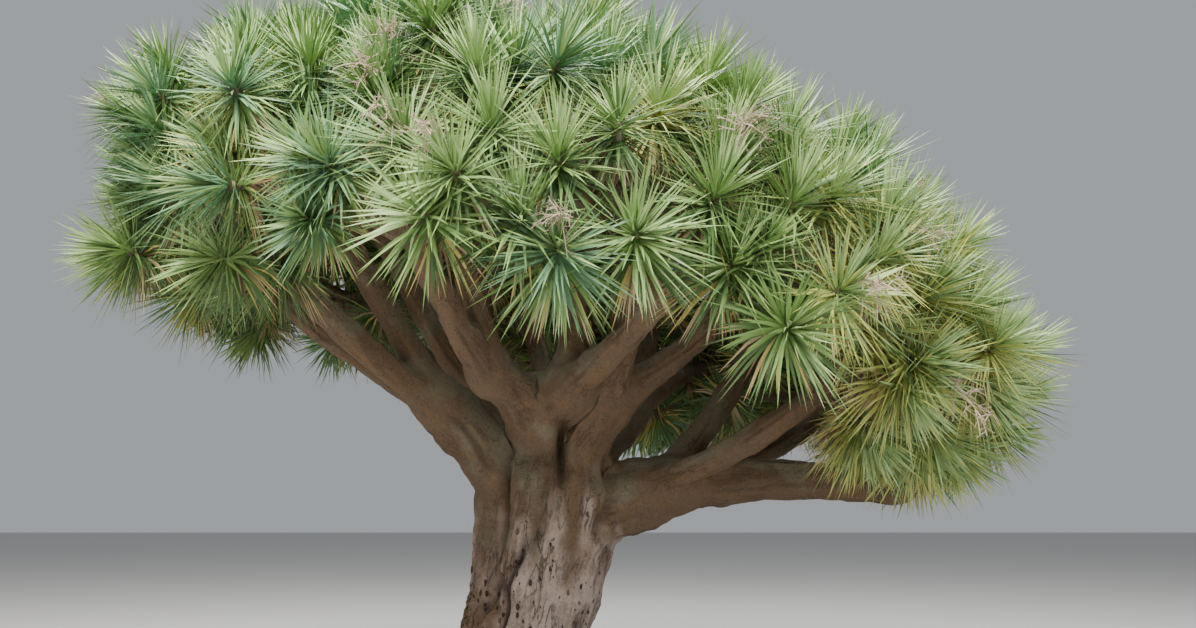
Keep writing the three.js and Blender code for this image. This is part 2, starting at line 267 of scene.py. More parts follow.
# name: where it starts (height on the trunk, or a limb and a share of it), bearing, reach, rise,
# bend out, bend up, radius at the root, radius at the tip, and the bough it belongs to
limbRows = {
    "right_limb": (1.25, -6, 2.6, 0.44, 0.23, 1.5, 0.25, 0.112, "right"),
    "left_limb": (1.56, 191, 0.8, 0.76, 0.5, 0.4, 0.215, 0.165, "left"),
    "centre_limb": (1.70, 262, 0.33, 0.6, 0.7, 0.4, 0.2, 0.165, "centre"),
    "right_centre_limb": (1.62, 318, 0.64, 0.78, 0.55, 0.4, 0.185, 0.145, "centre"),
    "back_left_limb": (1.62, 124, 1.05, 0.88, 0.6, 0.45, 0.195, 0.15, "back"),
    "back_limb": (1.60, 86, 1.15, 0.83, 0.6, 0.45, 0.195, 0.15, "back"),
    "back_right_limb": (1.64, 48, 1.0, 0.78, 0.6, 0.45, 0.19, 0.15, "back"),
    "centre_left_limb": (("centre_limb", 0.86), 226, 0.56, 0.33, 0.6, 0.5, 0.145, 0.125, "centre"),
    "centre_right_limb": (("centre_limb", 0.88), 304, 0.4, 0.21, 0.6, 0.5, 0.14, 0.122, "centre"),
}
limbs = {}
for name, (start, bearing, reach, rise, bendOut, bendUp, rootRadius, tipRadius, bough) in limbRows.items():
    if isinstance(start, tuple):
        foot = curvePoint(limbs[start[0]]["curve"], start[1])
    else:
        foot = np.array([trunkAxis(start), 0, start])
    end = foot + bearingVector(bearing) * reach + up * rise
    limbs[name] = {"curve": bentCurve(foot, end, bendOut, bendUp), "root": rootRadius, "tip": tipRadius,
                   "bough": bough}

# The surface that the tufts lie on, and the masses that share it out.
crown = {"centreX": 0.49, "midHeight": 3.2, "reachRight": 3.3, "reachLeft": 3.35, "reachFront": 3.05,
         "reachBack": 3.05, "rise": 1.88, "tilt": 0.19, "powerRight": 1.5, "powerLeft": 2.0,
         "lowestFall": math.radians(107), "frontLift": 0.07, "rightDrop": 0.09, "backDrop": 0.07,
         "tufts": 244, "upwards": 0.45, "sunk": 0.34, "strayed": 0.11, "turned": 0.14}
# more tufts low on both sides, inside the back, on the right shoulder and under the top: how many, from
# and to which bearing, how many degrees down from the top, and how far in at most
fringes = [(13, -46, 24, 115, 0.6), (16, 35, 155, 108, 1.2), (6, 160, 215, 106, 0.8),
           (14, 25, 155, 88, 1.1), (12, -58, 58, 68, 0.4), (8, 10, 325, 24, 0.3), (13, 5, 332, 48, 0.3)]
# places of single tufts and the ways they point: round the end of the low right limb, then low behind
# the trunk's head, and inside the crown, where no sky shows between the limbs
singleTufts = [
    (2.58, -0.70, 2.05, -0.2, -1, 0.25), (2.90, -0.66, 1.95, 0.15, -1, 0.05),
    (3.22, -0.50, 1.93, 0.7, -0.8, 0), (3.12, 0.12, 1.90, 0.9, 0.6, 0.1),
    (2.70, 0.22, 2.02, -0.1, 1, 0.1), (3.55, -0.30, 2.09, 1, -0.3, 0.1),
    (1.05, 2.25, 2.33, 0.1, 1, -0.4), (1.46, 2.15, 2.22, 0.3, 1, -0.4),
    (1.22, 1.72, 2.30, 0.2, 0.9, -0.3), (0.62, 2.05, 2.55, 0, 1, -0.4),
    (-0.25, 1.20, 3.62, -0.1, -0.4, 0.9), (0.60, 1.20, 3.36, 0.1, -0.4, 0.9),
    (0.15, 1.60, 3.60, 0, 0.3, 0.9), (0.10, 1.95, 3.08, -0.1, 0.9, 0.1),
    (-0.35, 1.85, 3.20, -0.4, 0.9, 0.1), (1.42, 1.90, 3.22, 0.3, 0.8, 0.3),
    (0.42, 0.15, 4.72, 0, 0, 1), (-1.65, 0.12, 4.62, -0.3, 0, 1),
]
# limb: the masses on it, each with its share of the limb and the bearing and fall of its middle
massRows = {
    "right_limb": {"right_low": (1, 353, 96), "right_front": (0.4, 322, 84), "right_upper": (0.45, 22, 50),
                   "right_back": (0.55, 28, 86)},
    "left_limb": {"left_low": (0.95, 178, 85), "left_front": (0.9, 212, 82), "left_upper": (0.8, 200, 48)},
    "centre_left_limb": {"front_left": (0.92, 249, 82), "front_left_upper": (0.85, 246, 48)},
    "centre_right_limb": {"front_right": (0.92, 289, 82), "top_front": (0.85, 285, 16)},
    "right_centre_limb": {"front_right_upper": (0.9, 291, 48), "right_front_upper": (0.85, 337, 50)},
    "back_left_limb": {"back_left": (0.93, 143, 85), "back_left_upper": (0.85, 155, 48),
                       "top_left": (0.75, 165, 17)},
    "back_limb": {"back": (0.93, 106, 86), "back_upper": (0.85, 110, 48)},
    "back_right_limb": {"back_right": (0.93, 66, 86), "back_right_upper": (0.88, 66, 48),
                        "top_right": (0.75, 45, 16)},
}
branch = {"rootRadius": 0.112, "tipRadius": 0.078, "bendOut": 0.58, "bendUp": 0.42, "stemDepth": 1.15}
twig = {"tipRadius": 0.034, "forkGrowth": 0.32, "points": 11, "sides": 8, "neck": 0.13, "wobble": 0.006,
        "inTuft": 0.03, "endTaper": 0.9}


def crownPoint(bearing, fall):
    rightward = (1 + math.cos(bearing)) / 2
    power = mix(crown["powerLeft"], crown["powerRight"], rightward)
    out = abs(math.sin(fall)) ** (2 / power)
    rise = math.copysign(abs(math.cos(fall)) ** (2 / power), math.cos(fall))
    x = out * math.cos(bearing) * crown["reachRight" if math.cos(bearing) > 0 else "reachLeft"]
    y = out * math.sin(bearing) * crown["reachBack" if math.sin(bearing) > 0 else "reachFront"]
    return np.array([crown["centreX"] + x, y, crown["midHeight"] + rise * crown["rise"] - crown["tilt"] * x])


def crownFace(bearing, fall):
    step = 0.01
    low = max(fall, 2 * step)
    across = crownPoint(bearing + step, low) - crownPoint(bearing - step, low)
    down = crownPoint(bearing, low + step) - crownPoint(bearing, low - step)
    return unit(np.cross(down, across))


def fallShares(steps=240):
    falls = np.linspace(0, crown["lowestFall"], steps + 1)
    front = np.array([crownPoint(-math.pi / 2, fall) for fall in falls])
    slopes = np.linalg.norm(np.diff(front, axis=0), axis=1) * np.abs(front[1:, 1])
    areas = np.concatenate([[0], np.cumsum(slopes)])
    return areas / areas[-1], falls


def tuftSites(count):
    areas, falls = fallShares()
    sites = []
    for i in range(count):
        bearing = i * goldenTurn
        rightward, backward = math.cos(bearing), math.sin(bearing)
        hang = crown["rightDrop"] * max(0, rightward) + crown["backDrop"] * max(0, backward)
        hang -= crown["frontLift"] * max(0, -backward)
        fall = np.interp((i + 0.5) / count, areas, falls) * (1 + hang)
        axis = unit(crownFace(bearing, fall) + up * crown["upwards"])
        stray = rng.normal(size=3) * crown["strayed"]
        sunk = max(0, stray @ axis) + crown["sunk"] * rng.random()
        sites.append({"place": crownPoint(bearing, fall) + stray - axis * sunk,
                      "axis": unit(axis + rng.normal(size=3) * crown["turned"])})
    for number, first, last, low, deepest in fringes:
        for i in range(number):
            bearing = math.radians(mix(first, last, i / (number - 1)))
            fall = math.radians(low + rng.normal() * 2)
            axis = unit(crownFace(bearing, fall) + up * crown["upwards"] * rng.random())
            inward = axis if low < 70 else unit(axis * [1, 1, 0])  # level where the crown hangs
            depth = deepest * (0.4 + i % 3) / 2.4  # three depths by turns
            sites.append({"place": crownPoint(bearing, fall) - inward * depth, "axis": axis})
    sites.extend({"place": np.array(row[:3]), "axis": unit(np.array(row[3:]))} for row in singleTufts)
    return sites


masses = {}
for limb, rows in massRows.items():
    for name, (at, bearing, fall) in rows.items():
        middle = crownPoint(math.radians(bearing), math.radians(fall))
        start = curvePoint(limbs[limb]["curve"], at)
        foot = start if at == 1 else middle + unit(start - middle) * branch["stemDepth"]
        masses[name] = {"limb": limb, "middle": middle, "foot": foot, "sites": []}
        if at < 1:
            masses[name]["limb"] = name + "_branch"
            limbs[name + "_branch"] = {
                "curve": bentCurve(start, foot, branch["bendOut"], branch["bendUp"]),
                "root": branch["rootRadius"], "tip": branch["tipRadius"], "bough": limbs[limb]["bough"]}
sites = tuftSites(crown["tufts"])
for site in sites:
    nearest = min(masses.values(), key=lambda mass: np.linalg.norm(mass["middle"] - site["place"]))
    nearest["sites"].append(site)
print("tufts in each mass:", [len(mass["sites"]) for mass in masses.values()])


# The twigs part in two again and again, round the two tufts that lie furthest apart.
def twigRadius(count):
    return twig["tipRadius"] * count ** twig["forkGrowth"]


def parted(group):
    places = np.array([site["place"] for site in group])
    apart = np.linalg.norm(places[:, None] - places[None], axis=2)
    a, b = np.unravel_index(apart.argmax(), apart.shape)
    nearFirst = apart[:, a] <= apart[:, b]
    return ([site for site, near in zip(group, nearFirst) if near],
            [site for site, near in zip(group, nearFirst) if not near])


def forkPlace(start, group):
    middle = np.mean([site["place"] for site in group], axis=0)
    return mix(start, middle, 1 / (1 + math.log2(len(group))))


twigLines = []  # the points and radii of each twig
stemLines = []  # the same for each stem, and the bough that it grows from


def growTwigs(fork, group):
    halves = parted(group)
    a, b = [forkPlace(fork, half) if len(half) > 1 else half[0]["place"] - half[0]["axis"] * twig["neck"]
            for half in halves]
    tips = [twigRadius(len(half)) for half in halves]
    t = np.linspace(0, 1, twig["points"])
    points = curvePoint(curveThrough(a, fork, b), t)
    points[1:-1] += rng.normal(size=(len(t) - 2, 3)) * twig["wobble"]
    radii = np.interp(t, [0, 0.5, 1], [tips[0], twigRadius(len(group)), tips[1]])
    for half, tip, last in zip(halves, tips, (False, True)):
        if len(half) == 1:  # it ends inside its tuft
            at = len(points) if last else 0
            points = np.insert(points, at, half[0]["place"] + half[0]["axis"] * twig["inTuft"], axis=0)
            radii = np.insert(radii, at, tip * twig["endTaper"])
    twigLines.append((points, radii))
    for half, end in zip(halves, (a, b)):
        if len(half) > 1:
            growTwigs(end, half)


for mass in masses.values():
    carrier = limbs[mass["limb"]]
    foot, group = mass["foot"], mass["sites"]
    fork = forkPlace(foot, group) if len(group) > 1 else group[0]["place"]
    onward = curveWay(carrier["curve"], 1) * np.linalg.norm(fork - foot) / 2
    t = np.linspace(0, 1, 7)
    stemLines.append((curvePoint((foot, foot + onward, fork), t),
                      mix(carrier["tip"], twigRadius(len(group)), t), carrier["bough"]))
    if len(group) > 1:
        growTwigs(fork, group)
print("twigs:", len(twigLines))


# The bark. One effect for the trunk, the boughs and the twigs, told apart by how old the bark is.
# the darkest colour serves both as the bark's own flecks and grit and as painted shade in the cracks, pits
# and hollows
barkColors = {"Bough": (0.146, 0.099, 0.062, 1), "Streak": (0.172, 0.106, 0.059, 1),
              "Old": (0.455, 0.358, 0.304, 1), "Lichen": (0.196, 0.178, 0.124, 1),
              "Pit": (0.032, 0.020, 0.014, 1)}
twigColors = dict(barkColors, Bough=(0.155, 0.112, 0.075, 1), Streak=(0.20, 0.14, 0.085, 1))
# how finely each layer repeats, across and along the wood
barkScales = {"streaks": (16, 16, 2.2), "furrows": (13, 13, 3.2), "rings": (7, 7, 46),
              "flecks": (30, 30, 60), "pits": (22, 22, 13), "patches": 2.6, "grit": 55.0}


def barkEffect():
    tree, add, enter = newTree(
        "barkEffect", "ShaderNodeTree", dict(dict.fromkeys(barkColors, "Color"), Grain="Vector"),
        {"Color": "Color", "Roughness": "Float", "Height": "Float"})
    maths, times = mathsOf(add)
    bough, streak, oldBark, lichen, fleckAndShade = (enter[name] for name in barkColors)
    grain = enter["Grain"]
    place = add("ShaderNodeTexCoord", output="Object")
    upward, age, hollowShade, joint, ruddy = (add("ShaderNodeAttribute", output="Fac", attribute_name=name)
                                         for name in ("upward", "age", "hollowShade", "joint", "ruddy"))

    def noise(vector, scale, detail=4.0, roughness=0.55):
        inputs = {"Vector": vector, "Scale": scale, "Detail": detail, "Roughness": roughness}
        return add("ShaderNodeTexNoise", inputs)

    def stretched(vector, layer):
        return add("ShaderNodeMapping", {"Vector": vector, "Scale": barkScales[layer]})

    def ranged(value, low, high, outLow=0.0, outHigh=1.0):
        inputs = {"Value": value, "From Min": low, "From Max": high, "To Min": outLow, "To Max": outHigh}
        return add("ShaderNodeMapRange", inputs, interpolation_type="SMOOTHSTEP")

    def mixColor(share, a, b):
        return add("ShaderNodeMix", {0: share, 6: a, 7: b}, 2, data_type="RGBA")

    def coated(color, *coats):
        for share, coat in coats:
            color = mixColor(share, color, coat)
        return color

    def aside(value, calm=0.5):  # where two pieces of wood meet, the grain fades out
        return add("ShaderNodeMix", {0: joint, 2: value, 3: calm}, data_type="FLOAT")

    streaks = aside(noise(stretched(grain, "streaks"), 1.0, 5.0, 0.6), noise(place, 9.0, 5.0, 0.6))
    patches = noise(place, barkScales["patches"], 3.0)
    grit = noise(place, barkScales["grit"], 5.0, 0.65)
    furrows = maths("SUBTRACT", noise(stretched(grain, "furrows"), 1.0), 0.5)
    furrows = maths("ABSOLUTE", furrows, 0.0)
    rings = aside(noise(stretched(grain, "rings"), 1.0))
    flecks = aside(noise(stretched(grain, "flecks"), 1.0, 2.0))
    cells = add("ShaderNodeTexVoronoi", {"Vector": stretched(place, "pits"), "Scale": 1.0}, None)
    pitSize = add("ShaderNodeSeparateColor", {"Color": cells["Color"]})
    pitEdge = maths("SUBTRACT", cells["Distance"], times(pitSize, 0.3))
    pits = times(ranged(pitEdge, 0.0, 0.07, 1, 0), ranged(age, 0.45, 0.8))
    cracks = times(ranged(furrows, 0.0, 0.035, 1, 0), ranged(joint, 0.2, 0.7, 1, 0))
    cracks = times(cracks, times(ranged(age, 0.1, 0.8, 0.35, 0.9), ranged(noise(place, 3.0), 0.40, 0.58)))

    mossy = times(ranged(maths("ADD", patches, times(upward, 0.16)), 0.46, 0.68), 0.7)
    young = coated(bough, (ranged(streaks, 0.42, 0.66), streak), (mossy, lichen),
                   (ranged(flecks, 0.26, 0.38, 0.6, 0.0), fleckAndShade))
    old = coated(oldBark, (ranged(streaks, 0.45, 0.7, 0.0, 0.6), streak),
                 (times(ruddy, ranged(patches, 0.35, 0.6, 0.3, 0.9)), streak))
    # painted shade: the cracks, the hollows and the pits are darkened towards near black where shade falls in
    # them; the grit is the bark's own dark specks
    color = coated(young, (ranged(age, 0.25, 0.85), old), (ranged(grit, 0.35, 0.65, 0.0, 0.22), fleckAndShade),
                   (times(cracks, 0.7), fleckAndShade), (times(hollowShade, 0.85), fleckAndShade), (times(pits, 0.9), fleckAndShade))
    height = 0.0
    for layer, share in ((grit, 0.2), (streaks, 0.5), (rings, 0.4), (cracks, -0.6), (pits, -1.1)):
        height = maths("ADD", height, times(layer, share))
    add("NodeGroupOutput", {"Color": color, "Roughness": ranged(grit, 0.3, 0.7, 0.78, 0.95),
                            "Height": height}, None)
    return tree


barkTree = barkEffect()


def barkMaterial(name, colors, relief, ownGrain=True):
    material, add, shader = newMaterial(name)
    if ownGrain:
        grain = add("ShaderNodeAttribute", output="Vector", attribute_name="grain")
    else:
        grain = add("ShaderNodeTexCoord", output="Object")
    effect = add("ShaderNodeGroup", dict(colors, Grain=grain), None, node_tree=barkTree)
    dress(shader, add, effect, effect["Color"], 0.25, 0.9, relief)
    return material


trunkBark = barkMaterial("trunkBark", barkColors, 0.026)
boughBark = barkMaterial("boughBark", barkColors, 0.024)
twigBark = barkMaterial("twigBark", twigColors, 0.014, ownGrain=False)


# Tubes that follow paths: each point of a path carries its thickness.
def tubeTree():
    tree, add, enter = newTree(
        "tubesOnPaths", "GeometryNodeTree", {"Paths": "Geometry", "Sides": "Int", "Finish": "Material"},
        {"Tubes": "Geometry"})
    thickness = add("GeometryNodeInputNamedAttribute", {"Name": "thickness"}, data_type="FLOAT")
    curves = add("GeometryNodeMeshToCurve", {"Mesh": enter["Paths"]})
    ring = add("GeometryNodeCurvePrimitiveCircle", {"Resolution": enter["Sides"], "Radius": 1.0})
    tubes = add("GeometryNodeCurveToMesh", {
        "Curve": curves, "Profile Curve": ring, "Scale": thickness, "Fill Caps": True})
    real = add("GeometryNodeRealizeInstances", {"Geometry": tubes})
    painted = add("GeometryNodeSetMaterial", {"Geometry": real, "Material": enter["Finish"]})
    add("NodeGroupOutput", {"Tubes": painted}, None)
    return tree


tubesOnPaths = tubeTree()


def pathMesh(name, lines):
    mesh = bpy.data.meshes.new(name)
    edges = []
    first = 0
    for points, _ in lines:
        edges.extend((i, i + 1) for i in range(first, first + len(points) - 1))
        first += len(points)
    mesh.from_pydata(np.vstack([points for points, _ in lines]).tolist(), edges, [])
    addAttribute(mesh, "thickness", np.concatenate([radii for _, radii in lines]))
    return mesh


# The wood as one skin: the trunk, the limbs, the columns that run down from them over the trunk,
# the branches and the stems, melted together and then carved.
wood = {"voxel": 0.0145, "smoothing": 4, "below": 0.12, "rings": 70, "sides": 96, "swelling": 0.14,
        "swellingReach": 1.6, "uneven": 0.05, "wander": 0.1, "tubeSides": 20, "station": 0.03}
melt = {"passes": 4, "step": 0.04, "thick": 0.062, "thin": 0.026, "headHeight": 1.7, "thickWithin": 0.7,
        "thinBeyond": 1.6, "reach": 0.25, "furthest": 0.05}
column = {"top": 0.35, "turn": 0.42 / 2.2, "under": 0.2, "highest": 1.72, "lowest": 0.7, "topShare": 0.75,
          "turnShare": 0.85, "radius": 0.12, "taper": 0.45, "sway": 0.12, "proud": 0.065, "sunk": 0.01}
web = {"top": 0.42, "middle": 0.19, "underTop": 0.07, "underMiddle": 0.17, "lowest": 0.95, "inTrunk": 0.16,
       "topRadius": 0.13, "lowRadius": 0.12}


def limbLine(limb):
    t = np.linspace(0, 1, 15)
    points = curvePoint(limb["curve"], t)
    along = t * np.linalg.norm(np.diff(points, axis=0), axis=1).sum()
    reach = limb["root"] * wood["swellingReach"]
    radii = mix(limb["root"], limb["tip"], t)
    radii = radii * (1 + wood["swelling"] * bell(along / reach))
    radii = radii * (1 + wood["uneven"] * np.sin(along * 9 + 40 * limb["root"]))
    wander = np.stack([np.sin(along * 5 + 50 * limb["tip"]), np.cos(along * 4.3 + 90 * limb["root"]),
                       np.zeros(len(t))], axis=1)
    return points + wander * (wood["wander"] * limb["tip"] * np.sin(np.pi * t))[:, None], radii


# A column runs down over the trunk from the root of a limb and fades into it.
def columnLine(limb):
    top = curvePoint(limb["curve"], column["top"])
    bearing = math.atan2(top[1], top[0] - trunkAxis(top[2]))
    heights = np.linspace(min(top[2] - column["under"], column["highest"]), column["lowest"], 9)
    points = [top, curvePoint(limb["curve"], column["turn"])]
    radii = [limb["root"] * column["topShare"], limb["root"] * column["turnShare"]]
    for i, z in enumerate(heights):
        fade = i / (len(heights) - 1)
        radius = column["radius"] * (1 - column["taper"] * fade)
        angle = bearing + column["sway"] * math.sin(3 * z)
        out = trunkRadius(z, angle) - radius + column["proud"] * (1 - fade) ** 1.2 - column["sunk"]
        points.append([trunkAxis(z) + out * math.cos(angle), out * math.sin(angle), z])
        radii.append(radius)
    return np.array(points), np.array(radii)


def trunkMesh():
    z = np.linspace(-wood["below"], trunk["height"], wood["rings"])
    angle = np.linspace(0, 2 * math.pi, wood["sides"], endpoint=False)
    zz, aa = np.meshgrid(z, angle, indexing="ij")
    radius = trunkRadius(np.maximum(zz, 0), aa)
    points = np.stack([trunkAxis(zz) + radius * np.cos(aa), radius * np.sin(aa), zz], axis=-1).reshape(-1, 3)
    n = wood["sides"]
    faces = [(i * n + j, i * n + (j + 1) % n, (i + 1) * n + (j + 1) % n, (i + 1) * n + j)
             for i in range(len(z) - 1) for j in range(n)]
    faces.append(tuple(range(n - 1, -1, -1)))
    faces.append(tuple((len(z) - 1) * n + j for j in range(n)))
    mesh = bpy.data.meshes.new("trunkCore")
    mesh.from_pydata(points.tolist(), [], faces)
    return mesh


# A web fills the angle between the trunk and the underside of its lowest limb.
def webLine(limb):
    top = curvePoint(limb["curve"], web["top"]) - up * web["underTop"]
    middle = curvePoint(limb["curve"], web["middle"]) - up * web["underMiddle"]
    z = web["lowest"]
    low = np.array([trunkAxis(z) + trunkRadius(z, 0.0) - web["inTrunk"], middle[1] * 0.5, z])
    t = np.linspace(0, 1, 9)
    return curvePoint(curveThrough(top, middle, low), t), mix(web["topRadius"], web["lowRadius"], t)


woodLines = [limbLine(limb) for limb in limbs.values()]
fromTrunk = [name for name, row in limbRows.items() if not isinstance(row[0], tuple)]
allLines = woodLines + [columnLine(limbs[name]) for name in fromTrunk] + [webLine(limbs["right_limb"])]
allLines += [(points, radii) for points, radii, _ in stemLines]
tubes = grow("woodTubes", pathMesh("woodPaths", allLines), tubesOnPaths,
             {"Sides": wood["tubeSides"], "Finish": boughBark})
whole = bmesh.new()
whole.from_mesh(trunkMesh())
whole.from_mesh(tubes.data)
skin = addPiece("woodSkin", bpy.data.meshes.new("woodSkin"))
whole.to_mesh(skin.data)
whole.free()
bpy.data.objects.remove(tubes)
remesh = skin.modifiers.new("melt", "REMESH")
remesh.mode = "VOXEL"
remesh.voxel_size = wood["voxel"]
smooth = skin.modifiers.new("soften", "SMOOTH")
smooth.factor = 0.5
smooth.iterations = wood["smoothing"]
woodMesh = finalMesh(skin)
bpy.data.objects.remove(skin)
print("wood skin:", len(woodMesh.polygons), "quads")

# Stations along every piece of wood, to tell which one each point of the skin belongs to.
stations = {}


def addStations(points, radii, bough, line):
    length = lengthsOf(points)
    along = np.arange(0, length[-1], wood["station"])
    centre = pointsAt(points, length, along)
    way = unit(np.gradient(centre, axis=0))
    side = np.cross(way[0], [0.3, 1.0, 0.2])
    sides = []
    for direction in way:
        side = unit(side - direction * (side @ direction))
        sides.append(side)
    rows = {"centre": centre, "radius": np.interp(along, length, radii), "along": along, "way": way,
            "side": sides, "bough": [bough] * len(along), "line": [line] * len(along)}
    for key, values in rows.items():
        stations.setdefault(key, []).extend(values)


heights = np.linspace(-0.1, trunk["height"], 40)
trunkLine = np.stack([trunkAxis(heights), 0 * heights, heights], axis=1)
addStations(trunkLine, trunkRadius(heights, 0.9), "trunk", 0)
for i, ((points, radii), limb) in enumerate(zip(woodLines, limbs.values())):
    addStations(points, radii, limb["bough"], i + 1)
for i, (points, radii, bough) in enumerate(stemLines):
    addStations(points, radii, bough, 100 + i)
stations = {key: np.array(values) for key, values in stations.items()}


# For each point, the station whose wood is nearest, and how far outside that wood it lies.
def nearestWood(points, chunk=20000):
    centre = stations["centre"].astype(np.float32)
    radius = stations["radius"].astype(np.float32)
    found = []
    gaps = []
    for first in range(0, len(points), chunk):
        apart = squaredGaps(points[first:first + chunk].astype(np.float32), centre)
        gap = np.sqrt(np.maximum(apart, 0)) - radius
        found.append(gap.argmin(axis=1))
        gaps.append(gap.min(axis=1))
    return np.concatenate(found), np.concatenate(gaps)


ends = readOut(woodMesh.edges, "vertices", 2, int)
neighbours = np.maximum(np.bincount(ends.ravel(), minlength=len(woodMesh.vertices)), 1)


# Averages a value with its neighbours over the skin.
def eased(values, times):
    for _ in range(times):
        total = np.bincount(ends[:, 0], values[ends[:, 1]], len(values))
        total += np.bincount(ends[:, 1], values[ends[:, 0]], len(values))
        values = (values + total / neighbours) / 2
    return values


# Where points of two kinds meet, and how that fades out over the skin.
def seams(kinds, times):
    seam = np.zeros(len(kinds))
    seam[ends[kinds[ends[:, 0]] != kinds[ends[:, 1]]]] = 1
    return eased(seam, times)


def moveSkin(places):
    woodMesh.vertices.foreach_set("co", places.ravel())
    woodMesh.update()
    return readOut(woodMesh.vertex_normals, "vector", 3)


# How far from the trunk's axis points lie, at which bearing, and how high.
def aboutTrunk(points):
    x, y, z = points.T
    x = x - trunkAxis(z)
    return np.hypot(x, y), np.arctan2(y, x), z


def levelWays(angles):
    return np.stack([np.cos(angles), np.sin(angles), 0 * angles], axis=1)


# Draws points onto a surface on which the pieces of wood flow into one another: a soft least
# distance to all of them, softer where they are thick.
def melted(points, lines):
    total = np.zeros(len(points))
    slope = np.zeros((len(points), 3))
    fromHead = np.linalg.norm(points - [trunkAxis(melt["headHeight"]), 0, melt["headHeight"]], axis=1)
    soft = mix(melt["thick"], melt["thin"], smoothStep(melt["thickWithin"], melt["thinBeyond"], fromHead))

    def weigh(chosen, gap, way):
        weight = np.exp(-gap / soft[chosen])
        total[chosen] += weight
        slope[chosen] += weight[:, None] * way

    for path, radii in lines:
        length = lengthsOf(path)
        along = np.linspace(0, length[-1], max(3, round(length[-1] / melt["step"])))
        centre = pointsAt(path, length, along)
        radius = np.interp(along, length, radii)
        way = unit(np.gradient(centre, axis=0))
        reach = radius.max() + melt["reach"]
        inside = (points > centre.min(0) - reach) & (points < centre.max(0) + reach)
        chosen = np.flatnonzero(inside.all(axis=1))
        at = squaredGaps(points[chosen], centre).argmin(axis=1)
        out = points[chosen] - centre[at]
        slip = (out * way[at]).sum(1).clip(-melt["step"] / 2, melt["step"] / 2)
        out = out - way[at] * slip[:, None]
        far = np.linalg.norm(out, axis=1)
        taper = (radius[-1] - radius[0]) / length[-1]
        weigh(chosen, far - radius[at] - taper * slip, out / np.maximum(far, 1e-6)[:, None])
    low = np.flatnonzero(points[:, 2] < trunk["height"] + 0.3)
    beside, angle, z = aboutTrunk(points[low])
    beside = beside - trunkRadius(z.clip(0, trunk["height"]), angle)
    above = z - trunk["height"]
    way = levelWays(angle)
    way[above > beside] = up
    weigh(low, np.maximum(beside, above), way)
    slope = slope / total[:, None]
    move = soft * np.log(total) / (slope ** 2).sum(1).clip(0.25)
    return points + slope * move.clip(-melt["furthest"], melt["furthest"])[:, None]


points = readOut(woodMesh.vertices, "co", 3)
for _ in range(melt["passes"]):
    points = melted(points, allLines)
points = np.stack([eased(points[:, k], 3) for k in range(3)], axis=1)
normals = moveSkin(points)

# where each point lies on its piece of wood, and how near to the next piece
nearest, _ = nearestWood(points)
line, radius, way, side, boughAt = (
    stations[key][nearest] for key in ("line", "radius", "way", "side", "bough"))
nearJoint = np.clip(seams(line, 40) * 6, 0, 1)
offset = points - stations["centre"][nearest]
localX = (offset * side).sum(1)
localY = (offset * np.cross(way, side)).sum(1)
along = stations["along"][nearest] + (offset * way).sum(1)
angle = np.arctan2(localY, localX)
fromAxis, trunkAngle, z = aboutTrunk(points)

carving = {
    "oldHeights": (1.95, 0.85), "oldReach": (0.72, 0.55), "surelyOld": 0.9, "folds": 0.07, "foldCount": 4,
    "foldedRadius": 0.36, "creases": 0.028, "creaseWidth": 0.16, "lumps": 0.017, "ridges": 0.009,
    "crackAngle": -106, "crackWidth": 0.026, "crackDepth": 0.055, "crackHeights": (-0.1, 0.2, 1.1, 1.5),
    "knobs": 0.02, "knobSpan": (-0.62, -0.5, -0.06, 0.02), "knobHeights": (1.5, 1.0), "cleftWidth": 0.035,
    "cleftDepth": 0.065, "cleftReach": 0.6, "turnRadius": 0.45,
}
# layers of noise, each with its strength, its pace upward, its size and its shift
noises = {
    "tongues": [(0.42, 0.25, 0.13, 7.0), (0.16, 0.5, 0.05, 2.0)], "wave": [(0.8, 1, 0.25, 0.0)],
    "creases": [(1, 1, 0.3, 5.0)], "crackWidth": [(0.5, 1, 0.12, 0.0)], "ridges": [(1, 0.28, 0.075, 4.0)],
    "knobs": [(1, 0.6, 0.055, 3.0), (0.5, 1, 0.03, 9.0)],
    "lumps": [(1, 1, 0.16, 1.0), (0.5, 1, 0.07, 2.0), (0.25, 1, 0.035, 6.0)],
}
# bearing, lowest and highest points and depth of the clefts that run down the trunk between its limbs
clefts = [(21, 1.4, 2.0, 1), (67, 1.3, 2.0, 1), (105, 1.42, 2.0, 1), (157, 1.3, 2.0, 1.2),
          (229, 1.2, 2.1, 1), (286, 1.62, 2.3, 2.3), (-37, 1.25, 2.0, 1), (-128, 1.0, 1.9, 0.6),
          (-93, 1.15, 1.75, 0.7)]


def layered(name):
    return sum(strength * bumps(points * [1, 1, pace], size, shift)
               for strength, pace, size, shift in noises[name])


# old bark up to the limbs, with an uneven edge
age = smoothStep(*carving["oldHeights"], z + layered("tongues"))
age = np.clip(age * smoothStep(*carving["oldReach"], fromAxis) + (z < carving["surelyOld"]), 0, 1)

# lengthwise folds, and sharper creases between them
wave = angle * carving["foldCount"] + 1.6 * np.sin(along * 2.3 + line) + layered("wave")
folds = carving["folds"] * np.minimum(radius, carving["foldedRadius"]) * np.cos(wave)
crease = bell((np.mod(wave / (2 * math.pi) + 0.5, 1) - 0.5) * 2 / carving["creaseWidth"])
crease = crease * smoothStep(-0.2, 0.5, layered("creases"))
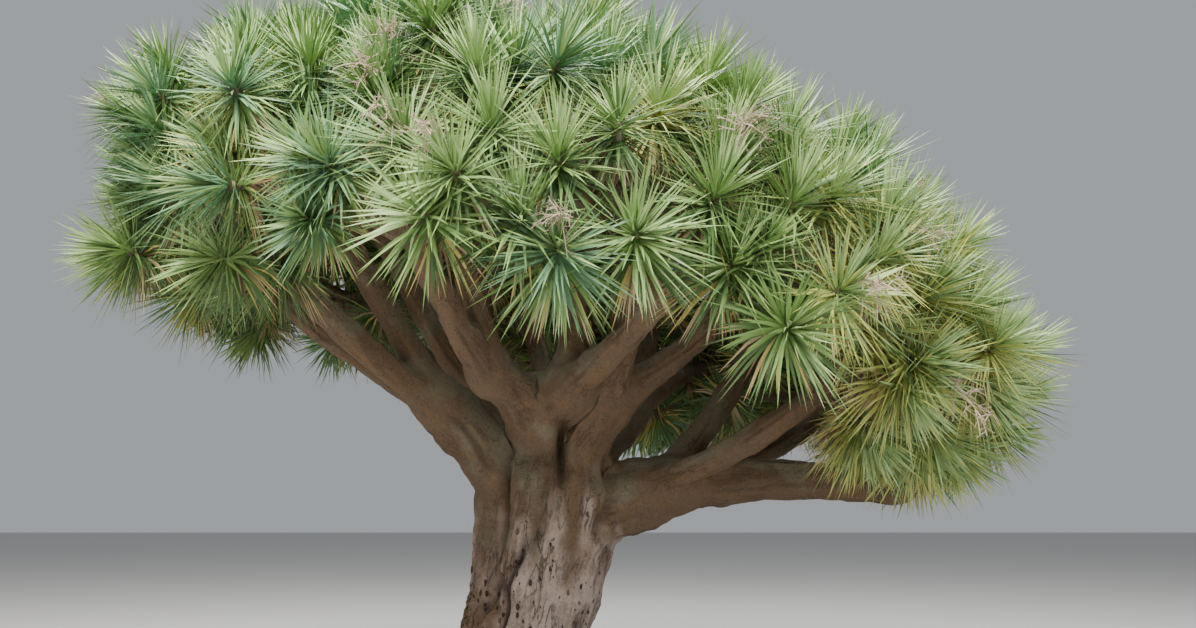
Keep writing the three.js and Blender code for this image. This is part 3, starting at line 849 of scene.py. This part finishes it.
# the long crack, and knobbly bark to its left
crackLine = math.radians(carving["crackAngle"]) + 0.07 * np.sin(5.0 * z + 0.6) + 0.03 * np.sin(17 * z)
fromCrack = (trunkAngle - crackLine) * carving["turnRadius"]
crackWidth = carving["crackWidth"] * (0.75 + layered("crackWidth"))
crack = bell(fromCrack / crackWidth) * within(carving["crackHeights"], z) * (age > 0)
knobZone = within(carving["knobSpan"], fromCrack) * smoothStep(*carving["knobHeights"], z) * (age > 0)
knobs = layered("knobs")
ridges = 1 - 2.2 * np.abs(layered("ridges"))
shift = folds - carving["creases"] * crease * np.minimum(1, radius / 0.2)
shift = mix(shift, eased(shift, 60) * 0.6, nearJoint)
crease = crease * (1 - nearJoint)
age = eased(age, 8)
cleft = np.zeros(len(points))
for bearing, low, high, depth in clefts:
    fromCleft = trunkAngle - math.radians(bearing) - 0.09 * np.sin(4 * z + bearing)
    fromCleft = (np.mod(fromCleft + math.pi, 2 * math.pi) - math.pi) * carving["turnRadius"]
    cleft += depth * bell(fromCleft / carving["cleftWidth"]) * within((low, low + 0.25, high - 0.2, high), z)
cleft = cleft * (fromAxis < carving["cleftReach"])
shift = shift + carving["lumps"] * layered("lumps") * np.minimum(1, radius / 0.15)
shift = shift - carving["crackDepth"] * crack
shift = shift + carving["knobs"] * knobs * (knobZone + 0.2 * age) - carving["ridges"] * (1 - ridges) * age
inward = -levelWays(trunkAngle)
points = points + normals * shift[:, None] + inward * (carving["cleftDepth"] * eased(cleft, 4))[:, None]
skinNormals = moveSkin(points).tolist()

# what the bark's finish reads at each point
# this mask is painted shade: it darkens the creases, the long crack, the clefts, the furrows between ridges
# and the dips between knobs
hollowShade = crease * 0.55 + crack + cleft * 0.3 + (ridges < 0.1) * 0.25 * age
hollowShade = hollowShade + knobZone * smoothStep(0.1, -0.7, knobs) * 0.35
grain = np.stack([localX, localY, along], axis=1) + (line * 3.7)[:, None]
onTrunk = line == 0
grain[onTrunk] = np.stack([points[:, 0] - trunkAxis(z), points[:, 1], z], axis=1)[onTrunk]
barkReads = {"grain": grain, "age": age, "hollowShade": np.clip(hollowShade, 0, 1), "upward": eased(normals[:, 2], 6),
             "joint": nearJoint, "ruddy": eased(knobZone, 6)}
skinTree = kdtree.KDTree(len(points))
for i, place in enumerate(points.tolist()):
    skinTree.insert(place, i)
skinTree.balance()
print("wood carved")


# The skin is parted into one piece for the trunk and one for each family of boughs, and each cut
# is closed inside the wood.
nearCut = seams(boughAt, 3)
thinned = {"right": 0.7, "left": 0.6, "centre": 0.6, "back": 0.42}  # share of faces kept, but for the cuts


def openRims(shape):
    left = dict.fromkeys(edge for edge in shape.edges if edge.is_boundary)
    rims = []
    while left:
        rim = []
        waiting = [left.popitem()[0]]
        while waiting:
            edge = waiting.pop()
            rim.append(edge)
            for corner in edge.verts:
                beside = [other for other in corner.link_edges if other in left]
                for other in beside:
                    del left[other]
                waiting.extend(beside)
        rims.append(rim)
    return rims


def woodPiece(name, bough, material):
    quads = readOut(woodMesh.loops, "vertex_index", 1, int).reshape(-1, 4)
    mine = quads[boughAt[quads[:, 0]] == bough]
    used, renumbered = np.unique(mine, return_inverse=True)
    mesh = bpy.data.meshes.new(name)
    mesh.from_pydata(points[used].tolist(), [], renumbered.reshape(-1, 4).tolist())
    for key, values in barkReads.items():
        addAttribute(mesh, key, values[used])
    shape = bmesh.new()
    shape.from_mesh(mesh)
    if bough == "trunk":
        geometry = shape.verts[:] + shape.edges[:] + shape.faces[:]
        bmesh.ops.bisect_plane(shape, geom=geometry, plane_co=(0, 0, 0), plane_no=(0, 0, 1), clear_inner=True)
    for face in shape.faces:
        face.smooth = True
    for rim in openRims(shape):
        corners = dict.fromkeys(corner for edge in rim for corner in edge.verts)
        apex = shape.verts.new(sum((corner.co for corner in corners), Vector()) / len(corners))
        for edge in rim:
            shape.faces.new((*edge.verts, apex))
    bmesh.ops.recalc_face_normals(shape, faces=shape.faces[:])
    shape.to_mesh(mesh)
    shape.free()
    mesh.materials.append(material)
    piece = addPiece(name, mesh)
    if bough in thinned:
        free = piece.vertex_groups.new(name="free")
        free.add(np.flatnonzero(nearCut[used] < 0.001).tolist(), 1.0, "REPLACE")
        lighter = piece.modifiers.new("lighter", "DECIMATE")
        lighter.ratio = thinned[bough]
        lighter.vertex_group = "free"
        piece.data = finalMesh(piece)
        piece.modifiers.remove(lighter)
        piece.vertex_groups.clear()
        piece.data.name = name
    # the shading runs on over each cut, as it did before the skin was parted
    whole = [skinNormals[skinTree.find(vertex.co)[1]] for vertex in piece.data.vertices]
    piece.data.normals_split_custom_set_from_vertices(whole)
    return piece


replacedWood = {"trunk": ["trunk"], "right": [], "left": [], "centre": [], "back": []}
for name, limb in limbs.items():
    replacedWood[limb["bough"]].append(name)
for bough, nodes in replacedWood.items():
    if bough == "trunk":
        handOver(woodPiece("trunkSkin", bough, trunkBark), nodes)
    else:
        handOver(woodPiece(bough + "Boughs", bough, boughBark), nodes)

foliageNodes = [name + "_foliage" for name in masses]
twigPiece = grow("twigs", pathMesh("twigPaths", twigLines), tubesOnPaths,
                 {"Sides": twig["sides"], "Finish": twigBark})
handOver(twigPiece, foliageNodes)


# The leaves. Each tuft holds many, from upright ones in the middle to hanging old ones.
leaf = {  # angles are in degrees from the tuft's axis
    "count": 200, "length": 0.52, "width": 0.0195, "thickness": 0.005, "segments": 2, "seed": 5,
    "narrowest": 3, "widest": 128, "tuftWidths": (0.86, 1.08), "spread": 0.72, "uneven": 9, "turned": 0.4,
    "leant": 0.13, "oldFrom": 0.8, "hang": 0.12, "oldHang": 0.35, "along": 0.17, "outward": 0.03,
    "sizes": (0.8, 1.0), "tuftSizes": (0.80, 1.04), "sag": 0.30, "oldSag": 0.5, "curl": 0.07,
    "clearOfWood": 0.03, "pastBox": 0.02, "trianglesEach": 195000,
}
leafSizes = {"Leaf length": leaf["length"], "Leaf width": leaf["width"], "Leaf thickness": leaf["thickness"]}
freshFinish = {"Scale": 60.0, "Smoothest": 0.37, "Roughest": 0.59}
dryFinish = {"Scale": 60.0, "Smoothest": 0.6, "Roughest": 0.82}
shades = {
    "blueGreen": (0.148, 0.282, 0.148), "green": (0.210, 0.334, 0.104), "deepGreen": (0.090, 0.165, 0.054),
    "paleGreen": (0.320, 0.452, 0.190), "yellowGreen": (0.420, 0.452, 0.128), "yellow": (0.560, 0.475, 0.150),
    "straw": (0.560, 0.455, 0.260), "brown": (0.200, 0.135, 0.080),
}


# The fibres of leaves and of dry stalks.
def fibreEffect():
    tree, add, enter = newTree(
        "fibreEffect", "ShaderNodeTree", {"Scale": "Float", "Smoothest": "Float", "Roughest": "Float"},
        {"Roughness": "Float", "Height": "Float"})
    place = add("ShaderNodeTexCoord", output="Object")
    fibres = add("ShaderNodeTexNoise", {"Vector": place, "Scale": enter["Scale"], "Detail": 3.0})
    gloss = add("ShaderNodeMapRange", {
        "Value": fibres, "To Min": enter["Smoothest"], "To Max": enter["Roughest"]})
    add("NodeGroupOutput", {"Roughness": gloss, "Height": fibres}, None)
    return tree


fibreTree = fibreEffect()


def fibreMaterial(name, color, finish, specular, relief):
    material, add, shader = newMaterial(name)
    effect = add("ShaderNodeGroup", finish, None, node_tree=fibreTree)
    dress(shader, add, effect, (*color, 1), specular, relief, 0.002)
    return material


# One three-sided blade, set on each point, turned, sized and bent as the point says.
def leafTree():
    tree, add, enter = newTree("swordLeaves", "GeometryNodeTree", {
        "Points": "Geometry", **dict.fromkeys(leafSizes, "Float"), "Segments": "Int", "Seed": "Int",
        "Finish": "Material"}, {"Leaves": "Geometry"})
    maths, times = mathsOf(add)

    def named(name, kind="FLOAT_VECTOR"):
        return add("GeometryNodeInputNamedAttribute", {"Name": name}, data_type=kind)

    blade = add("GeometryNodeMeshCone", {
        "Vertices": 3, "Side Segments": enter["Segments"], "Radius Top": 0.0, "Radius Bottom": 1.0,
        "Depth": 1.0}, fill_type="NGON")
    where = add("ShaderNodeSeparateXYZ", {0: add("GeometryNodeInputPosition")}, None)
    fuller = maths("ADD", times(where["Z"], 1.5), 1.0)  # a blade is wider than a cone
    shaped = add("ShaderNodeCombineXYZ", {
        "X": times(times(where["X"], fuller), times(enter["Leaf thickness"], 0.667)),
        "Y": times(times(where["Y"], fuller), times(enter["Leaf width"], 0.577)),
        "Z": times(where["Z"], enter["Leaf length"])})
    marked = add("GeometryNodeStoreNamedAttribute", {
        "Geometry": blade, "Name": "along", "Value": where["Z"]}, data_type="FLOAT", domain="POINT")
    bladeShape = add("GeometryNodeSetPosition", {"Geometry": marked, "Position": shaped})
    turn = add("FunctionNodeAxesToRotation", {
        "Primary Axis": named("heading"), "Secondary Axis": named("underside")},
        primary_axis="Z", secondary_axis="X")
    vary = add("FunctionNodeRandomValue", {2: 0.8, 3: 1.2, "Seed": enter["Seed"]}, 1, data_type="FLOAT")
    size = add("ShaderNodeCombineXYZ", {"X": vary, "Y": vary, "Z": named("size", "FLOAT")})
    placed = add("GeometryNodeInstanceOnPoints", {
        "Points": enter["Points"], "Instance": bladeShape, "Rotation": turn, "Scale": size})
    real = add("GeometryNodeRealizeInstances", {"Geometry": placed})
    share = times(maths("POWER", named("along", "FLOAT"), 2.0), enter["Leaf length"])
    bent = add("ShaderNodeVectorMath", {"Vector": named("bend"), "Scale": share}, operation="SCALE")
    drooped = add("GeometryNodeSetPosition", {"Geometry": real, "Offset": bent})
    flat = add("GeometryNodeSetShadeSmooth", {"Geometry": drooped, "Shade Smooth": False})
    painted = add("GeometryNodeSetMaterial", {"Geometry": flat, "Material": enter["Finish"]})
    add("NodeGroupOutput", {"Leaves": painted}, None)
    return tree


def leavesOf(site):
    n = leaf["count"]
    share = (np.arange(n) + 0.5) / n
    widest = leaf["widest"] * rng.uniform(*leaf["tuftWidths"])
    tilt = mix(leaf["narrowest"], widest, share ** leaf["spread"]) + rng.normal(size=n) * leaf["uneven"]
    tilt = np.radians(tilt)
    turn = np.arange(n) * goldenTurn + rng.normal(size=n) * leaf["turned"]
    axis = site["axis"]
    side = unit(np.cross(axis, [0.9, 0.1, 0.0] if abs(axis[2]) > 0.95 else up))
    across = np.cross(axis, side)
    around = side * np.cos(turn)[:, None] + across * np.sin(turn)[:, None]
    heading = axis * np.cos(tilt)[:, None] + around * np.sin(tilt)[:, None]
    heading = heading + rng.normal(size=3) * leaf["leant"]
    old = smoothStep(leaf["oldFrom"], 1.0, share)
    heading = unit(heading - up * (leaf["hang"] * share + leaf["oldHang"] * old)[:, None])
    underside = unit(heading * (heading @ axis)[:, None] - axis + around * 0.05)
    root = site["place"] + axis * (leaf["along"] * (0.35 - share))[:, None] + heading * leaf["outward"]
    size = 0.58 + 0.42 * np.sin(np.pi * np.minimum(1, 0.18 + share * 0.75))
    size = size * rng.uniform(*leaf["sizes"], n)
    size = size * rng.uniform(*leaf["tuftSizes"])  # whole tufts differ too
    level = np.hypot(heading[:, 0], heading[:, 1])
    sag = leaf["sag"] * share * rng.uniform(0.5, 1.4, n) + leaf["oldSag"] * old * rng.random(n)
    sag = sag * level * size
    bend = rng.normal(size=(n, 3)) * (leaf["curl"] * size)[:, None] - up * sag[:, None]
    return {"root": root, "heading": heading, "underside": underside, "size": size, "bend": bend,
            "share": share}


# how far out in its tuft a leaf takes each shade, and how the tufts yellow low down and to the right; the
# yellowing and the fewer blue-green tufts to the right are painted sunlight
tint = {"pale": 0.14, "inner": 0.55, "yellow": 0.86, "straw": 0.91, "brown": 0.95, "brownShare": 0.6,
        "deepShare": 0.12, "blueShare": 0.42, "sunlitRightLessBlue": 0.3, "sunlitRightYellow": 0.5, "lowYellow": 0.42,
        "yellowOuter": 0.2, "yellowWhole": 0.42, "agedByYellow": 0.13}


# Which shade each leaf of a tuft takes: greener in the middle, yellow and straw where it is old.
def shadesOf(site, share):
    x = site["place"][0]
    # painted sunlight: towards the right the tufts grow yellower, less often blue-green and richer in straw
    # leaves; the yellowing low down and the random part are the leaves' own colour
    yellowAndSunlit = smoothStep(0.8, 3.4, x) * tint["sunlitRightYellow"] + rng.normal() * 0.16
    yellowAndSunlit += tint["lowYellow"] * smoothStep(1.6, 2.6, x) * smoothStep(2.9, 2.3, site["place"][2])
    blue = rng.random() < tint["blueShare"] - tint["sunlitRightLessBlue"] * smoothStep(1.0, 3.0, x)
    n = len(share)
    value = share + rng.normal(size=n) * 0.09
    inner = "blueGreen" if blue else "green"
    outer = "green" if blue else "deepGreen"
    if yellowAndSunlit + rng.normal() * 0.12 > tint["yellowOuter"]:
        outer = "yellowGreen"
    shade = np.where(value < tint["pale"], "paleGreen", np.where(value < tint["inner"], inner, outer))
    if yellowAndSunlit > tint["yellowWhole"]:
        shade = np.where(value < 0.3, "paleGreen", "yellowGreen")
    shade = np.where(rng.random(n) < tint["deepShare"], "deepGreen", shade)
    aged = share + rng.normal(size=n) * 0.035 + tint["agedByYellow"] * max(0, yellowAndSunlit)
    for name in ("yellow", "straw"):
        shade = np.where(aged > tint[name], name, shade)
    return np.where((aged > tint["brown"]) & (rng.random(n) < tint["brownShare"]), "brown", shade)


allLeaves = [leavesOf(site) for site in sites]
allShades = np.concatenate([shadesOf(site, made["share"]) for site, made in zip(sites, allLeaves)])
leaves = {key: np.concatenate([made[key] for made in allLeaves]) for key in allLeaves[0]}
length = (leaves["size"] * leaf["length"])[:, None]
bent = leaves["bend"] * leaf["length"]
keep = np.ones(len(length), bool)
for share in (0.5, 1.0):  # halfway along each leaf, and at its tip
    reached = leaves["root"] + leaves["heading"] * length * share + bent * share ** 2
    keep &= nearestWood(reached)[1] > leaf["clearOfWood"]
    keep &= (reached > np.array(cadBox[0]) - leaf["pastBox"]).all(axis=1)
    keep &= (reached < np.array(cadBox[1]) + leaf["pastBox"]).all(axis=1)
print("leaves:", keep.sum(), "of", len(keep))
swordLeaves = leafTree()
perPiece = leaf["trianglesEach"] // (6 * leaf["segments"] - 2)
for shade, color in shades.items():
    chosen = np.flatnonzero(keep & (allShades == shade))
    old = shade in ("yellow", "straw", "brown")
    finish = fibreMaterial(shade + "Leaf", color, dryFinish if old else freshFinish, 0.28, 0.25)
    for part, first in enumerate(range(0, len(chosen), perPiece)):
        some = chosen[first:first + perPiece]
        mesh = bpy.data.meshes.new("leafPoints")
        mesh.from_pydata(leaves["root"][some].tolist(), [], [])
        for key in ("heading", "underside", "bend", "size"):
            addAttribute(mesh, key, leaves[key][some])
        piece = grow(f"{shade}Leaves{part + 1}", mesh, swordLeaves, dict(
            leafSizes, Segments=leaf["segments"], Seed=leaf["seed"] + part, Finish=finish))
        handOver(piece, foliageNodes)


# Dry flower stalks hang about some of the tufts: a bent stem, side stems and short ends on those.
stalk = {"length": 0.50, "lengths": (0.8, 1.1), "stem": 0.0065, "sides": 0.0042, "ends": 0.0028,
         "sideStems": 15, "sideLengths": (0.1, 0.2), "endsEach": 4, "endLengths": (0.035, 0.075),
         "turned": 0.45, "droop": 0.55, "sideDroop": 0.35, "others": 22}
# across and up on the crown's front, where dry stalks show
stalkSpots = [(-1.74, 4.27), (-0.85, 4.08), (0.66, 3.10), (1.09, 3.87), (1.48, 3.45), (1.96, 2.94),
              (1.9, 4.23), (0.1, 4.6), (2.75, 2.25)]
stalkFinish = {"Scale": 90.0, "Smoothest": 0.7, "Roughest": 0.95}


def drooping(start, way, reach, droop, t):
    return start + way * (t * reach)[:, None] - up * (droop * reach * t ** 2)[:, None]


def stalkLines(site):
    way = unit(site["axis"] + rng.normal(size=3) * stalk["turned"])
    t = np.linspace(0, 1, 7)
    length = stalk["length"] * rng.uniform(*stalk["lengths"])
    main = drooping(site["place"] + site["axis"] * 0.08, way, length, stalk["droop"], t)
    lines = [(main, mix(stalk["stem"], stalk["sides"], t))]
    for i in range(stalk["sideStems"]):
        at = mix(0.25, 0.98, i / stalk["sideStems"])
        foot = pointsAt(main, t, at)
        out = unit(unit(rng.normal(size=3)) + way * 0.5)
        reach = rng.uniform(*stalk["sideLengths"]) * (1.3 - 0.6 * at)
        s = np.linspace(0, 1, 4)
        side = drooping(foot, out, reach, stalk["sideDroop"], s)
        lines.append((side, mix(stalk["sides"], stalk["ends"], s)))
        for j in range(stalk["endsEach"]):
            root = pointsAt(side, s, mix(0.35, 1, j / stalk["endsEach"]))
            tip = root + unit(rng.normal(size=3) + out * 0.8) * rng.uniform(*stalk["endLengths"])
            lines.append((np.array([root, tip]), np.array([stalk["ends"], stalk["ends"] * 0.7])))
    return lines


front = [site for site in sites if site["place"][1] < -0.8]
flowered = []
for x, z in stalkSpots:
    flowered.append(min(front, key=lambda site: math.hypot(site["place"][0] - x, site["place"][2] - z)))
raised = [site for site in sites if site["place"][2] > 3.0 and site["axis"][2] > 0.3]
flowered += [raised[i] for i in rng.choice(len(raised), stalk["others"], replace=False)]
stalkPaths = pathMesh("stalkPaths", [line for site in flowered for line in stalkLines(site)])
dryStalk = fibreMaterial("dryStalk", (0.46, 0.34, 0.27), stalkFinish, 0.2, 0.4)
handOver(grow("flowerStalks", stalkPaths, tubesOnPaths, {"Sides": 3, "Finish": dryStalk}),
         foliageNodes)


# The floor and the light.
stageFinish, _, stageShader = newMaterial("stageFloor")
feed(stageShader, {"Base Color": (0.50, 0.49, 0.475, 1), "Roughness": 0.9})
floorMesh = bpy.data.meshes.new("stageFloor")
floorMesh.from_pydata([(-60, -60, 0), (60, -60, 0), (60, 60, 0), (-60, 60, 0)], [], [(0, 1, 2, 3)])
floorMesh.materials.append(stageFinish)
floor = addPiece("stageFloor", floorMesh)

world = bpy.data.worlds.new("studio")
world.use_nodes = True
feed(world.node_tree.nodes["Background"], {"Color": (0.86, 0.90, 0.95, 1), "Strength": 0.44})
bpy.context.scene.world = world
lamps = {  # place, target, size, watts and colour
    "key": ((-2.2, -8.0, 12.5), (0.2, -0.5, 2.6), 5.5, 4700, (1.0, 0.96, 0.88)),
    "fill": ((9.0, -8.0, 5.0), (0.5, 0.0, 2.5), 8.0, 600, (0.92, 0.96, 1.0)),
    "top": ((0.5, 2.0, 13.0), (0.4, 0.0, 3.0), 8.0, 2400, (0.96, 0.98, 1.0)),
}
for name, (place, target, size, energy, color) in lamps.items():
    lamp = bpy.data.lights.new(name, "AREA")
    lamp.size = size
    lamp.energy = energy
    lamp.color = color
    holder = addPiece(name, lamp)
    holder.location = place
    holder.rotation_euler = (Vector(target) - Vector(place)).to_track_quat("-Z", "Y").to_euler()
